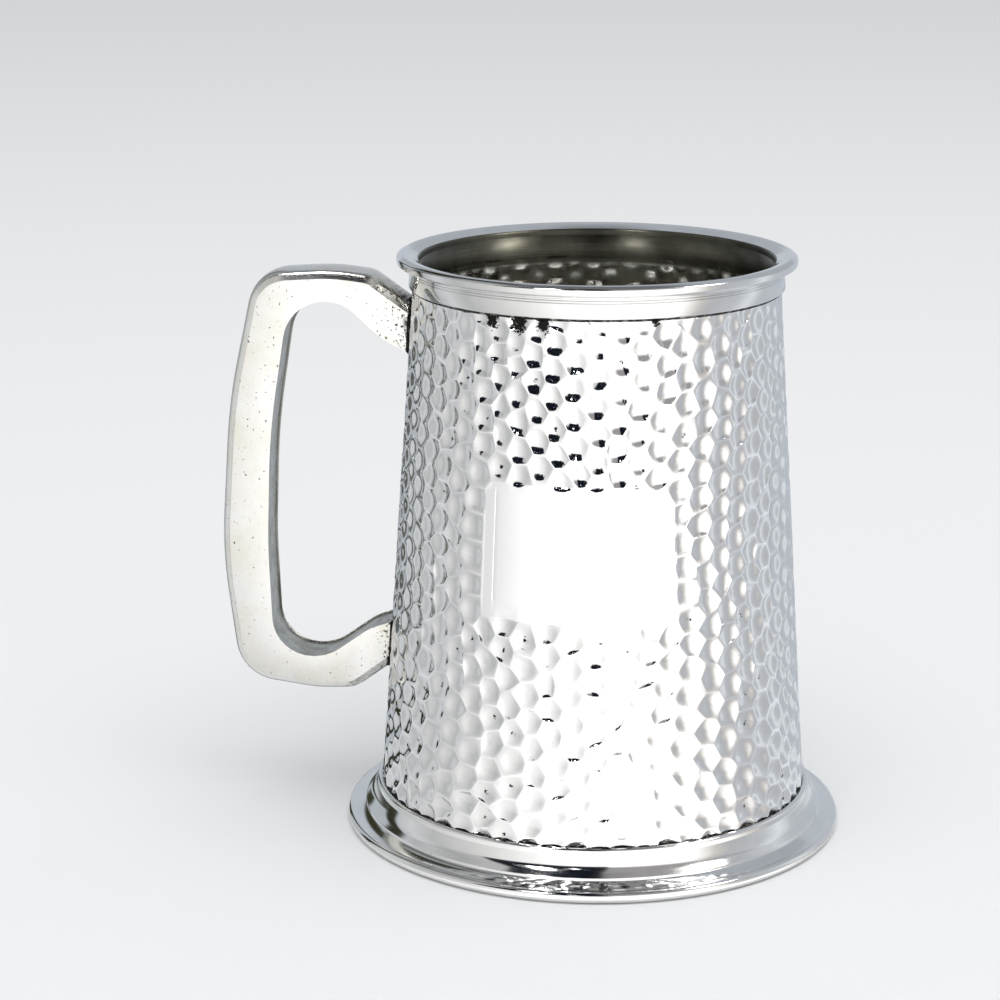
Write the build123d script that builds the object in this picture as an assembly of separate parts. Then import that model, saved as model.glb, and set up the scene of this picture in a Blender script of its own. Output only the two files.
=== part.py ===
from build123d import *

import os

# One-pint pewter tankard: a rolled, tapering barrel of hammered sheet with a cast lip moulding
# round the mouth, a spun stepped foot, a let-in floor and a cast bar handle, soldered together.
# Millimetres, +Z up.  The origin is on the barrel's axis, on the surface that the foot stands on.
# The handle points along -X and the barrel's plain engraving panel faces -Y.

# ---- driving dimensions -------------------------------------------------------------------------
HEIGHT = 120.0            # crown of the lip
SHEET = 1.1               # thickness of the rolled barrel
BARREL_RADIUS = 44.95     # the barrel's outer cone, carried down to z = 0
BARREL_TAPER = 0.0675     # radius lost for each millimetre of height
BARREL_BOTTOM = 4.0       # lower edge of the sheet, inside the foot
BARREL_TOP = 117.6        # upper edge of the sheet, inside the lip
SEAM_WIDTH = 0.8          # soldered gap between the sheet's two ends, behind the handle

MOULDING_BOTTOM = 113.0   # lower edge of the lip moulding
BAND_RADIUS = 38.2        # plain band of the moulding, at its lower edge
NECK_RADIUS = 37.95       # narrowest part, under the lip
NECK_HEIGHT = 117.6
LIP_RADIUS = 40.45        # widest part of the lip
LIP_BOTTOM = 117.9        # the widest part is upright between these two heights
LIP_SHOULDER = 118.95
LIP_CROWN = (37.5, 38.4)  # inner and outer radius of the flat top of the lip
MOUTH_RADIUS = 36.6       # inner edge of the lip
MOUTH_HEIGHT = 119.1
REED_DEPTH = 0.16         # depth of the fine lines round the moulding
REED_HEIGHTS = (116.0, 116.5, 117.0)
MOULDING_GAP = 0.6        # soldered butt joint where the moulding's two ends meet
MOULDING_GAP_ANGLE = -4.4 # degrees round from -Y

FOOT_RADIUS = 51.8        # rounded outer lip of the foot
FOOT_LIP = 1.2            # height of that lip's widest part
FOOT_REST = (49.5, 50.8)  # inner and outer radius of the flat ring that the foot stands on
COLLAR_TOP = 9.0          # where the foot grips the barrel
COLLAR_LEAN = 0.1         # the collar's upper edge is this much narrower than its foot
COLLAR_RADIUS = 45.4      # upright collar round the barrel
COVE_RADIUS = 2.2         # hollow curve from the collar to the flange
FLANGE_TOP = (47.8, 3.9)  # radius and height of the flange's upper edge
FLANGE_STEP = (48.0, 3.4) # a small step below that edge
FLANGE_END = (50.1, 2.25) # the groove between the flange and the lip
FOOT_UNDERSIDE = [(49.2, 1.2), (47.2, 2.3), (45.6, 2.9), (44.7, 3.3)]

FLOOR_BOTTOM = 5.5
FLOOR_THICKNESS = 1.5

HANDLE_THICKNESS = 10.4   # side to side
HANDLE_CROWN = 2.15       # how far the rounded back stands out beyond the flat sides
HANDLE_EDGE = 2.1         # rounding along the back's two edges
HANDLE_ROUNDED_TO = -36.0 # the rounding stops inside the barrel, at this X

SOLDER_BEAD = 0.9         # width of the solder round the handle's ends and round the floor
SOLDER_LINE = 0.45        # width of the solder along the foot and under the moulding
SOLDER_FILM = 0.05        # thickness of solder between two soldered faces

# The flat side of the handle, in X and Z: straight runs joined by arcs.
# The runs start and end inside the barrel, where the handle is cut to the barrel's surface.
HANDLE_OUTSIDE = [
    (-34.0, 104.4), (-46.4, 113.2), (-53.6, 114.1), (-68.3, 113.1), (-74.0, 87.2),
    (-76.2, 55.5), (-73.0, 29.9), (-58.2, 27.9), (-50.7, 28.2), (-38.0, 37.6),
]
HANDLE_OUTSIDE_ARCS = [3.3, 40.0, 6.9, 120.0, 90.0, 7.4, 20.0, 4.4]
HANDLE_INSIDE = [
    (-34.0, 97.8), (-43.1, 102.0), (-51.7, 110.1), (-63.0, 108.7), (-67.3, 81.5),
    (-68.2, 57.7), (-67.3, 33.1), (-55.4, 33.3), (-46.4, 39.8), (-38.0, 42.7),
]
HANDLE_INSIDE_ARCS = [20.0, 9.0, 9.2, 150.0, 120.0, 8.6, 10.3, 11.4]


# ---- shared helpers -----------------------------------------------------------------------------
def wall_radius(z, inset=0.0):
    """Radius of the barrel's outer cone at height z, less inset."""
    return BARREL_RADIUS - BARREL_TAPER * z - inset


def section_face(*lines):
    """The flat face inside a closed run of lines and arcs."""
    return make_face([edge for line in lines for edge in line.edges()])


def turned(*lines):
    """The solid swept by a closed section of lines and arcs in X and Z, turned round the axis."""
    return revolve(Plane.XZ * section_face(*lines), Axis.Z)


def turned_polygon(*points):
    """The solid swept by a straight-sided section."""
    return turned(Polyline(*points, close=True))


def cone_ring(bottom, top, inner_inset, outer_inset):
    """A ring between two heights and between two insets from the barrel's outer cone."""
    return turned_polygon(
        (wall_radius(bottom, inner_inset), bottom),
        (wall_radius(bottom, outer_inset), bottom),
        (wall_radius(top, outer_inset), top),
        (wall_radius(top, inner_inset), top),
    )


def radial_slot(width, bottom, top, angle):
    """A block as wide as a gap in a ring, reaching out from the axis at an angle round from -Y."""
    reach = 2 * BARREL_RADIUS
    block = Box(width, reach, top - bottom, align=(Align.CENTER, Align.MAX, Align.MIN))
    return Rot(0, 0, angle) * Pos(0, 0, bottom) * block


# ---- barrel -------------------------------------------------------------------------------------
def make_barrel():
    """The rolled sheet, and the solder that closes the seam between its two ends."""
    sheet = cone_ring(BARREL_BOTTOM, BARREL_TOP, SHEET, 0.0)
    slot = radial_slot(SEAM_WIDTH, BARREL_BOTTOM - 1, BARREL_TOP + 1, -90)
    return sheet - slot, sheet & slot


def make_floor():
    """The disc let into the barrel, and the bead of solder that holds it, inside the cup."""
    top = FLOOR_BOTTOM + FLOOR_THICKNESS
    edge = SHEET + SOLDER_FILM
    disc = turned_polygon(
        (0, FLOOR_BOTTOM),
        (wall_radius(FLOOR_BOTTOM, edge), FLOOR_BOTTOM),
        (wall_radius(top, edge), top),
        (0, top),
    )
    bead = turned_polygon(
        (wall_radius(top, edge + SOLDER_BEAD), top + SOLDER_FILM),
        (wall_radius(top, edge), top + SOLDER_FILM),
        (wall_radius(top + SOLDER_BEAD, edge), top + SOLDER_BEAD),
    )
    return disc, bead


# ---- foot ---------------------------------------------------------------------------------------
def make_foot():
    """The spun foot: an upright collar, a cove, a sloping flange and a rounded lip, hollow below."""
    outside = FilletPolyline(
        (wall_radius(COLLAR_TOP), COLLAR_TOP),
        (COLLAR_RADIUS - COLLAR_LEAN, COLLAR_TOP),
        (COLLAR_RADIUS, FLANGE_TOP[1]),
        FLANGE_TOP,
        FLANGE_STEP,
        FLANGE_END,
        radius=[0.7, COVE_RADIUS, 0.0, 0.0],
    )
    lip = ThreePointArc(FLANGE_END, (FOOT_RADIUS, FOOT_LIP), (FOOT_REST[1], 0.0))
    inside = Polyline(
        (FOOT_REST[1], 0.0),
        (FOOT_REST[0], 0.0),
        *FOOT_UNDERSIDE,
        (wall_radius(BARREL_BOTTOM), BARREL_BOTTOM),
        (wall_radius(COLLAR_TOP), COLLAR_TOP),
    )
    return turned(outside, lip, inside)


def corner_bead(height, rise):
    """A line of solder in the corner between the barrel and a face at that height."""
    return turned_polygon(
        (wall_radius(height), height),
        (wall_radius(height) + abs(rise), height),
        (wall_radius(height + rise), height + rise),
    )


# ---- lip moulding -------------------------------------------------------------------------------
def band_radius(height):
    """Radius of the plain band of the moulding, which narrows a little towards the neck."""
    rise = (height - MOULDING_BOTTOM) / (NECK_HEIGHT - MOULDING_BOTTOM)
    return BAND_RADIUS + (NECK_RADIUS - BAND_RADIUS) * rise


def make_lip_moulding():
    """The moulding bent round the mouth, and the solder in the joint between its two ends."""
    outside = FilletPolyline(
        (wall_radius(MOULDING_BOTTOM), MOULDING_BOTTOM),
        (BAND_RADIUS, MOULDING_BOTTOM),
        (NECK_RADIUS, NECK_HEIGHT),
        (LIP_RADIUS, LIP_BOTTOM),
        (LIP_RADIUS, LIP_SHOULDER),
        (LIP_CROWN[1], HEIGHT),
        (LIP_CROWN[0], HEIGHT),
        (MOUTH_RADIUS, MOUTH_HEIGHT),
        (wall_radius(BARREL_TOP, SHEET), BARREL_TOP),
        radius=[0.2, 0.9, 0.45, 0.45, 1.6, 0.5, 0.5],
    )
    inside = Polyline(
        (wall_radius(BARREL_TOP, SHEET), BARREL_TOP),
        (wall_radius(BARREL_TOP), BARREL_TOP),
        (wall_radius(MOULDING_BOTTOM), MOULDING_BOTTOM),
    )
    ring = turned(outside, inside)
    for height in REED_HEIGHTS:
        ring -= Pos(0, 0, height) * Torus(band_radius(height), REED_DEPTH)
    slot = radial_slot(MOULDING_GAP, MOULDING_BOTTOM - 1, HEIGHT + 1, MOULDING_GAP_ANGLE)
    return ring - slot, ring & slot


# ---- handle -------------------------------------------------------------------------------------
def outline_face(points, arcs):
    """The region of the XZ plane between one side of the handle's outline and the barrel."""
    return section_face(FilletPolyline(*points, radius=arcs), Line(points[-1], points[0]))


def slab(face, thickness):
    """A face of the XZ plane made into a slab of that thickness, half of it each side of Y = 0."""
    return extrude(Plane.XZ * face, amount=thickness / 2, both=True)


def make_handle():
    """The cast bar handle, and the bead of solder round each of its ends."""
    outside = outline_face(HANDLE_OUTSIDE, HANDLE_OUTSIDE_ARCS)
    inside = outline_face(HANDLE_INSIDE, HANDLE_INSIDE_ARCS)
    back = offset(outside, HANDLE_CROWN, kind=Kind.INTERSECTION)
    barrel_core = turned_polygon(
        (0, 0), (wall_radius(0), 0), (wall_radius(HEIGHT), HEIGHT), (0, HEIGHT)
    )

    block = slab(back, HANDLE_THICKNESS)
    sides = block.faces().sort_by(Axis.Y)
    rims = sides[0].edges() + sides[-1].edges()
    block = fillet(rims.filter_by(lambda edge: edge.center().X < HANDLE_ROUNDED_TO), HANDLE_EDGE)
    handle = block - slab(inside, 2 * HANDLE_THICKNESS) - barrel_core

    collar = offset(back, SOLDER_BEAD) - offset(inside, -SOLDER_BEAD)
    skin = cone_ring(COLLAR_TOP + 1, MOULDING_BOTTOM - 1, 0.0, -SOLDER_BEAD)
    beads = (slab(collar, HANDLE_THICKNESS + 2 * SOLDER_BEAD) & skin) - handle
    lower, upper = beads.solids().sort_by(Axis.Z)
    return handle, upper, lower


# ---- export -------------------------------------------------------------------------------------
barrel, side_seam_solder = make_barrel()
floor_disc, floor_solder = make_floor()
lip_moulding, lip_joint_solder = make_lip_moulding()
handle, upper_handle_solder, lower_handle_solder = make_handle()

nodes = {
    "barrel": barrel,
    "side_seam_solder": side_seam_solder,
    "floor_disc": floor_disc,
    "floor_solder": floor_solder,
    "foot_moulding": make_foot(),
    "foot_solder": corner_bead(COLLAR_TOP, SOLDER_LINE),
    "lip_moulding": lip_moulding,
    "lip_joint_solder": lip_joint_solder,
    "lip_solder": corner_bead(MOULDING_BOTTOM, -SOLDER_LINE),
    "handle": handle,
    "upper_handle_solder": upper_handle_solder,
    "lower_handle_solder": lower_handle_solder,
}

os.makedirs("parts", exist_ok=True)
for name, shape in nodes.items():
    export_step(shape, f"parts/{name}.step")
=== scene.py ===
import math

import bmesh
import bpy
import numpy as np
from mathutils import Matrix, Vector


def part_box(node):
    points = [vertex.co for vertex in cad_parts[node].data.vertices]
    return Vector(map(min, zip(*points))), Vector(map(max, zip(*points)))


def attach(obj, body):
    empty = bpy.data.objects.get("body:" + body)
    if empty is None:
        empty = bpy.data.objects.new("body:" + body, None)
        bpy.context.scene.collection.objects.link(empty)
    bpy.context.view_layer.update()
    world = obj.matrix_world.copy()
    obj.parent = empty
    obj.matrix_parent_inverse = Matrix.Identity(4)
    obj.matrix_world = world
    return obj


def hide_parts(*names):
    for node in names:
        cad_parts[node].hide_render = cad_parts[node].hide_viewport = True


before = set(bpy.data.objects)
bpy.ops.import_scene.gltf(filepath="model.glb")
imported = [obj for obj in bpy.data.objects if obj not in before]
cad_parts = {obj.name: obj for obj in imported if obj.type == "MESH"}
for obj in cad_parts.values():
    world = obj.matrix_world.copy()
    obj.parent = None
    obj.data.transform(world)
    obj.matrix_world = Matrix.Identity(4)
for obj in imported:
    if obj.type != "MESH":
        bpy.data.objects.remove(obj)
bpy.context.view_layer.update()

# The looks of a hammered pewter tankard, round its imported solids.  Blender works in metres; the
# shapes below are worked out in millimetres and scaled once, where each mesh is made.
MM = 0.001
rng = np.random.default_rng(12)


# ---- sizes read from the frame ----
def box_mm(node):
    """Lowest and highest corner of a CAD node, in millimetres."""
    low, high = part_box(node)
    return low / MM, high / MM


def outer_radius(node, height):
    """Largest radius of a CAD node's own points at a height, in millimetres."""
    points = np.array([v.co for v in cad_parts[node].data.vertices]) / MM
    ring = points[np.abs(points[:, 2] - height) < 0.01]
    return float(np.hypot(ring[:, 0], ring[:, 1]).max())


BARREL_LOW, BARREL_HIGH = box_mm("barrel")
FOOT_HIGH = box_mm("foot_moulding")[1]
LIP_LOW, LIP_HIGH = box_mm("lip_moulding")
FLOOR_LOW, FLOOR_HIGH = box_mm("floor_disc")
SEAM_LOW, SEAM_HIGH = box_mm("side_seam_solder")
WALL_FOOT = outer_radius("barrel", BARREL_LOW.z)
WALL_TOP = outer_radius("barrel", BARREL_HIGH.z)
TAPER = (WALL_FOOT - WALL_TOP) / (BARREL_HIGH.z - BARREL_LOW.z)
FLOOR_EDGE = outer_radius("floor_disc", FLOOR_LOW.z)
SHEET = WALL_FOOT - FLOOR_EDGE - TAPER * (FLOOR_LOW.z - BARREL_LOW.z)  # thickness of the sheet


def wall(height, inset=0.0):
    """Radius of the barrel's outer cone at a height, less inset."""
    return WALL_FOOT - TAPER * (height - BARREL_LOW.z) - inset


# ---- mesh helpers ----
def new_object(name, points, faces):
    """A mesh in the scene, from points in millimetres."""
    mesh = bpy.data.meshes.new(name)
    mesh.from_pydata([tuple(c * MM for c in p) for p in points], [], faces)
    piece = bpy.data.objects.new(name, mesh)
    bpy.context.scene.collection.objects.link(piece)
    return piece


def make_piece(name, points, faces, material, replaced=(), slot=None, sharp=40.0):
    """A smooth-shaded piece of the tankard, riding on its one body."""
    piece = new_object(name, points, faces)
    piece.data.validate()
    piece.data.shade_smooth()
    piece.data.set_sharp_from_angle(angle=math.radians(sharp))
    piece.data.materials.append(material)
    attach(piece, "root")
    if replaced:
        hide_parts(*replaced)
    return piece


def add_attribute(piece, name, values):
    """A number at each point of a piece, for its material to read."""
    layer = piece.data.attributes.new(name, "FLOAT", "POINT")
    layer.data.foreach_set("value", values)


def rounded(points, radii, steps=6):
    """A run of straight lines whose inner corners are rounded to arcs, as a list of points.

    Every corner gives steps + 1 points, so two outlines with as many corners match point by point.
    """
    out = [Vector(points[0])]
    for before, corner, after, radius in zip(points, points[1:], points[2:], radii):
        corner = Vector(corner)
        back = (Vector(before) - corner).normalized()
        ahead = (Vector(after) - corner).normalized()
        half = back.angle(ahead) / 2
        if radius == 0:
            out += [corner] * (steps + 1)
            continue
        centre = corner + (back + ahead).normalized() * (radius / math.sin(half))
        start = corner + back * (radius / math.tan(half)) - centre
        turn = math.pi - 2 * half
        side = 1 if back.cross(ahead) < 0 else -1
        for step in range(steps + 1):
            spin = Matrix.Rotation(side * turn * step / steps, 2)
            out.append(centre + spin @ start)
    out.append(Vector(points[-1]))
    return out


def tidy_run(points, gap=1e-4):
    """The points of a closed run without repeats."""
    kept = []
    for point in points:
        if not kept or (Vector(point) - Vector(kept[-1])).length > gap:
            kept.append(tuple(point))
    if (Vector(kept[0]) - Vector(kept[-1])).length <= gap:
        kept.pop()
    return kept


def polar(radius, azimuth, height):
    """A point at an azimuth counted from -Y towards +X, in radians."""
    return (radius * math.sin(azimuth), -radius * math.cos(azimuth), height)


def lathe(name, profile, material, segments=288, start=0.0, sweep=360.0, wobble=None, **kwargs):
    """A closed profile of (radius, height) turned round the axis, wholly or in part."""
    profile = tidy_run(profile)
    count = len(profile)
    whole = sweep >= 360.0
    stations = segments if whole else segments + 1
    points, faces = [], []
    for station in range(stations):
        azimuth = math.radians(start + sweep * station / segments)
        for index, (radius, height) in enumerate(profile):
            if wobble:
                radius, height = wobble(index, radius, height, azimuth)
            points.append(polar(radius, azimuth, height))
    for station in range(segments):
        near, far = station * count, (station + 1) % stations * count
        for index in range(count):
            after = (index + 1) % count
            faces.append((near + index, far + index, far + after, near + after))
    if not whole:
        faces.append(tuple(range(count)))
        faces.append(tuple(reversed(range(segments * count, segments * count + count))))
    return make_piece(name, points, faces, material, **kwargs)


# ---- materials ----
PEWTER = (0.80, 0.80, 0.79)
PEWTER_PIT = (0.12, 0.11, 0.10)
# Base colour of the painted highlight on the ridges.
RIDGE_HIGHLIGHT = (0.97, 0.97, 0.97)
HOLLOW = (0.80, 0.80, 0.80)
HOLLOW_DULL = (0.75, 0.75, 0.74)
OXIDE = (0.020, 0.019, 0.018)
TARNISH = (0.15, 0.145, 0.115)
TARNISH_DARK = (0.09, 0.085, 0.065)
TARNISH_BRUSHED = (0.24, 0.235, 0.20)
# Base colour of the bumps inside: a painted highlight, brighter than the tarnish of the band above.
INNER_BUMPS_HIGHLIGHT = (0.74, 0.73, 0.67)
FLOOR_PEWTER = (0.55, 0.54, 0.50)
CAST_BRIGHT = (0.93, 0.925, 0.90)
CAST_WARM = (0.87, 0.84, 0.75)
CAST_DULL = (0.24, 0.235, 0.19)
CAST_PIT = (0.08, 0.07, 0.05)
SOLDER_BRIGHT = (0.34, 0.32, 0.29)
BUMPS_FADE = 1.2                         # the bumps' colour fades out over this height
HAMMERED_HEIGHTS = (7.0, 112.6)          # the hammer marks lie between these heights
SMOOTH_BELOW = 111.9                     # the inside is plain above this height


class Nodes:
    """A material with a Principled shader, and short ways to add nodes to it."""

    def __init__(self, name, color=PEWTER, roughness=0.1, metallic=1.0):
        self.material = bpy.data.materials.new(name)
        self.material.use_nodes = True
        self.tree = self.material.node_tree
        self.shader = self.tree.nodes["Principled BSDF"]
        self.shader.inputs["Base Color"].default_value = (*color, 1)
        self.shader.inputs["Roughness"].default_value = roughness
        self.shader.inputs["Metallic"].default_value = metallic
        self.place = self.add("ShaderNodeTexCoord").outputs["Object"]

    def add(self, kind, **inputs):
        node = self.tree.nodes.new(kind)
        for key, value in inputs.items():
            self.put(value, node.inputs[key.replace("_", " ")])
        return node

    def put(self, value, socket):
        if isinstance(value, bpy.types.NodeSocket):
            self.tree.links.new(value, socket)
        else:
            socket.default_value = value

    def surface(self, name, value):
        self.put(value, self.shader.inputs[name])

    def stretched(self, x, y, z):
        """The object's coordinates, scaled along each axis."""
        node = self.add("ShaderNodeMapping", Vector=self.place)
        node.inputs["Scale"].default_value = (x, y, z)
        return node.outputs["Vector"]

    def noise(self, scale, detail=3.0, roughness=0.5, vector=None):
        node = self.add("ShaderNodeTexNoise", Vector=vector or self.place, Scale=scale)
        node.inputs["Detail"].default_value = detail
        node.inputs["Roughness"].default_value = roughness
        return node.outputs["Fac"]

    def ramp(self, value, low, high, out_low=0.0, out_high=1.0):
        """value between low and high, as a number between out_low and out_high."""
        node = self.add("ShaderNodeMapRange", Value=value)
        limits = (low, high, out_low, out_high)
        for key, number in zip(("From Min", "From Max", "To Min", "To Max"), limits):
            node.inputs[key].default_value = number
        return node.outputs["Result"]

    def math(self, operation, a, b):
        node = self.add("ShaderNodeMath")
        node.operation = operation
        self.put(a, node.inputs[0])
        self.put(b, node.inputs[1])
        return node.outputs[0]

    def mix(self, factor, a, b):
        node = self.add("ShaderNodeMix")
        node.data_type = "RGBA"
        self.put(factor, node.inputs["Factor"])
        for key, color in (("A", a), ("B", b)):
            socket = next(s for s in node.inputs if s.name == key and s.type == "RGBA")
            self.put(color if isinstance(color, bpy.types.NodeSocket) else (*color, 1), socket)
        return next(s for s in node.outputs if s.type == "RGBA")

    def attribute(self, name):
        node = self.add("ShaderNodeAttribute")
        node.attribute_name = name
        return node.outputs["Fac"]

    def bump(self, height, strength, distance):
        node = self.add("ShaderNodeBump", Height=height)
        node.inputs["Strength"].default_value = strength
        node.inputs["Distance"].default_value = distance * MM
        self.surface("Normal", node.outputs["Normal"])


def hammered_material():
    """Polished sheet: a painted highlight on the ridges, greyer hollows, oxide in the deepest
    marks.
    """
    m = Nodes("hammered_pewter", roughness=0.07)
    streak = m.noise(900, 4, 0.6, m.stretched(1, 1, 0.5))
    cloud = m.noise(120, 4, 0.6)
    crumb = m.noise(1500, 3, 0.7)
    ragged_oxide = m.math("ADD", m.attribute("oxide"), m.ramp(crumb, 0.3, 0.7, -0.3, 0.3))
    spot = m.ramp(ragged_oxide, 0.42, 0.5)
    hollow = m.mix(m.ramp(cloud, 0.35, 0.7), HOLLOW, HOLLOW_DULL)
    # Painted highlight: the ridges, and a little of the first ring inside them, get a brighter base
    # colour.
    metal = m.mix(m.attribute("ridge_highlight"), hollow, RIDGE_HIGHLIGHT)
    m.surface("Base Color", m.mix(spot, metal, OXIDE))
    sheen = m.ramp(streak, 0.3, 0.7, 0.05, 0.12)
    m.surface("Roughness", m.math("ADD", sheen, m.ramp(spot, 0, 1, 0, 0.5)))
    m.bump(m.noise(2600, 3, 0.6), 0.05, 0.05)
    return m.material


def inner_material():
    """The inside of the sheet: dark and brushed at the mouth, bright on the bumps as painted
    highlight.
    """
    m = Nodes("tarnished_pewter_painted_light")
    lines = m.noise(1.0, 5, 0.7, m.stretched(40, 40, 4000))
    cloud = m.noise(140, 4, 0.65)
    dull = m.mix(m.ramp(cloud, 0.35, 0.7), TARNISH, TARNISH_DARK)
    brushed = m.mix(m.ramp(lines, 0.55, 0.75), dull, TARNISH_BRUSHED)
    height = m.add("ShaderNodeSeparateXYZ", Vector=m.place).outputs["Z"]
    # Mask of the bumps below the plain band, which get the painted highlight colour.
    bumps = m.ramp(height, (SMOOTH_BELOW - BUMPS_FADE) * MM, SMOOTH_BELOW * MM, 1, 0)
    m.surface("Base Color", m.mix(bumps, brushed, INNER_BUMPS_HIGHLIGHT))
    line_roughness = m.ramp(lines, 0.3, 0.7, 0.11, 0.20)
    m.surface("Roughness", m.math("ADD", line_roughness, m.ramp(bumps, 0, 1, 0.2, 0)))
    around = m.add("ShaderNodeTangent")
    around.direction_type = "RADIAL"
    around.axis = "Z"
    m.surface("Tangent", around.outputs["Tangent"])
    m.shader.inputs["Anisotropic"].default_value = 0.85
    m.shader.inputs["Anisotropic Rotation"].default_value = 0.25
    m.bump(lines, 0.15, 0.05)
    return m.material


def turned_material(name, roughness, depth, color=PEWTER):
    """Pewter polished on a lathe: fine lines run round the axis."""
    m = Nodes(name, color=color)
    lines = m.noise(1.0, 5, 0.7, m.stretched(60, 60, 9000))
    cloud = m.noise(150, 4, 0.6)
    pits = m.ramp(m.noise(900, 2, 0.5), 0.76, 0.80)
    metal = m.mix(m.ramp(cloud, 0.35, 0.7), color, tuple(c * 0.93 for c in color))
    m.surface("Base Color", m.mix(pits, metal, PEWTER_PIT))
    line_roughness = m.ramp(lines, 0.3, 0.7, roughness * 0.7, roughness * 1.4)
    m.surface("Roughness", m.math("ADD", line_roughness, m.ramp(cloud, 0.4, 0.75, 0, 0.02)))
    m.bump(lines, 0.06, depth)
    return m.material


def cast_material():
    """The handle's metal: scratched, a little warm in patches, dull and pitted by attributes."""
    m = Nodes("cast_pewter", roughness=0.3)
    scratches = m.noise(1.0, 5, 0.7, m.stretched(2200, 9000, 500))
    cloud = m.noise(90, 5, 0.65)
    patch = m.noise(260, 5, 0.7)
    # How much darker the metal is: on the inner face, and at the ends next to the barrel.
    darkening = m.attribute("darkening")
    # More dark pits near the barrel.
    near_barrel = m.math("MULTIPLY", m.attribute("near_barrel"), 0.14)
    pits = m.ramp(m.math("ADD", m.noise(1500, 2, 0.6), near_barrel), 0.68, 0.72)
    warm = m.mix(m.ramp(cloud, 0.45, 0.7), CAST_BRIGHT, CAST_WARM)
    dull = m.math("MULTIPLY", darkening, m.ramp(patch, 0.3, 0.65, 0.55, 1.0))
    metal = m.mix(dull, warm, CAST_DULL)
    m.surface("Base Color", m.mix(pits, metal, CAST_PIT))
    m.surface("Roughness", m.ramp(scratches, 0.3, 0.7, 0.14, 0.27))
    m.bump(m.math("SUBTRACT", scratches, m.math("MULTIPLY", pits, 1.5)), 0.25, 0.08)
    return m.material


def solder_material():
    """Solder: black with oxide, with a few bare patches."""
    m = Nodes("solder", roughness=0.5)
    cloud = m.noise(700, 5, 0.65)
    m.surface("Base Color", m.mix(m.ramp(cloud, 0.52, 0.66), OXIDE, SOLDER_BRIGHT))
    m.surface("Roughness", m.ramp(cloud, 0.4, 0.7, 0.65, 0.35))
    m.bump(cloud, 0.6, 0.25)
    return m.material


HAMMERED = hammered_material()
TARNISH_AND_PAINTED_LIGHT = inner_material()
LIP = turned_material("lip_pewter", 0.08, 0.05)
SPUN = turned_material("spun_pewter", 0.09, 0.02)
FLOOR = turned_material("floor_pewter", 0.3, 0.08, FLOOR_PEWTER)
CAST = cast_material()
SOLDER = solder_material()


# ---- hammered barrel ----
# The sheet is worked out flat, as it was hammered: across is the azimuth in degrees, counted from
# -Y towards +X, and up is the height.  Its two ends meet at the seam, behind the handle.
COLUMNS = 58
SEAM_AZIMUTH = -90.0
SEAM_HALF = math.degrees((SEAM_HIGH.y - SEAM_LOW.y) / 2 / WALL_FOOT)
PITCH_ACROSS = (360 - 2 * SEAM_HALF) / COLUMNS
SHEET_ENDS = (SEAM_AZIMUTH + SEAM_HALF, SEAM_AZIMUTH + 360 - SEAM_HALF)
PANEL_COLUMNS = (10, 19)                 # the engraving panel takes the place of these columns
PANEL_HEIGHTS = (53.5, 80.5)
PANEL_ROWS = 5
PITCH_UP = (PANEL_HEIGHTS[1] - PANEL_HEIGHTS[0]) / PANEL_ROWS
PANEL_SIDES = tuple(SHEET_ENDS[0] + c * PITCH_ACROSS for c in PANEL_COLUMNS)
DEGREE = math.radians(1) * wall(60)      # a degree round the barrel, in millimetres
CELL_JITTER = 0.44
END_SNAP = 0.8                           # a corner this near to the sheet's end goes on to it
REPEAT_GAP = 0.02                        # corners nearer than this are one corner
DRIFT = 1.3                              # the rows of blows wander by as much as this
DRIFT_FADE = 12                          # and by less, this near to the sheet's edges
SIDE_STEP = 0.9                          # a side of a cell is divided into steps of about this
HAMMER_RADIUS = 4.4                      # every blow leaves a bowl of much the same curve
BOWL_BLEND = 0.07                        # a bowl's edge is rounded over about this height
CELL_DEPTH = 0.78
FULL_CELL = 2.4                          # a cell of this mean radius or more gets a full blow
OFF_CENTRE = 0.18
RINGS = (0.94, 0.80, 0.60, 0.38, 0.12)   # rings of points in a bowl, as shares of its outline
FLAT_RING = 3                            # a bowl's middle may be flattened inside this ring
FLATTENING = 0.6
PITTED_SHARE = 0.06                      # share of the bowls with an oxide spot in the middle
PITTED_PATCH = (-65, -10, 50)            # between these azimuths and below this height,
PITTED_PATCH_SHARE = 0.4                 # this share of them
STAINS = ((-27.3, 1.0), (-18.6, 1.1), (-10.7, 1.0), (22.7, 0.55))  # azimuth, size
STAIN_SIZE = (2.3, 4.4)                  # the stains under the lip's band: half width, height
PANEL_CUTS = 40
PANEL_BORDER = 0.3
FRAME_LINE = (2.5, 3.5, 2.0)             # the engraved line, in from the sides, bottom and top
LINE_WIDTH = 0.24
LINE_DEPTH = 0.035
PANEL_DEPTH = -0.08
DENT_SHARE = 0.9                         # a bowl shows on the inside by this share of its depth
DENT_FADE = 1.4                          # the bumps rise to it over this height, below the mouth


def inside_panel(point, margin):
    """Whether a point lies in the panel, by more than a margin above and below."""
    across = PANEL_SIDES[0] < point[0] < PANEL_SIDES[1]
    return across and PANEL_HEIGHTS[0] + margin < point[1] < PANEL_HEIGHTS[1] - margin


def cell_centre(column, row):
    """Middle of a cell before it is jittered; every second column stands half a row higher."""
    return (
        SHEET_ENDS[0] + (column + 0.5) * PITCH_ACROSS,
        PANEL_HEIGHTS[0] + (row + 0.5 + 0.5 * (column % 2)) * PITCH_UP,
    )


def cell_corners(column, row):
    """The six corners of a cell: each is the left or right point of one (column, row, side)."""
    above = row + column % 2
    below = above - 1
    return [
        (column, row, 1), (column + 1, above, -1), (column - 1, above, 1),
        (column, row, -1), (column - 1, below, 1), (column + 1, below, -1),
    ]


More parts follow.
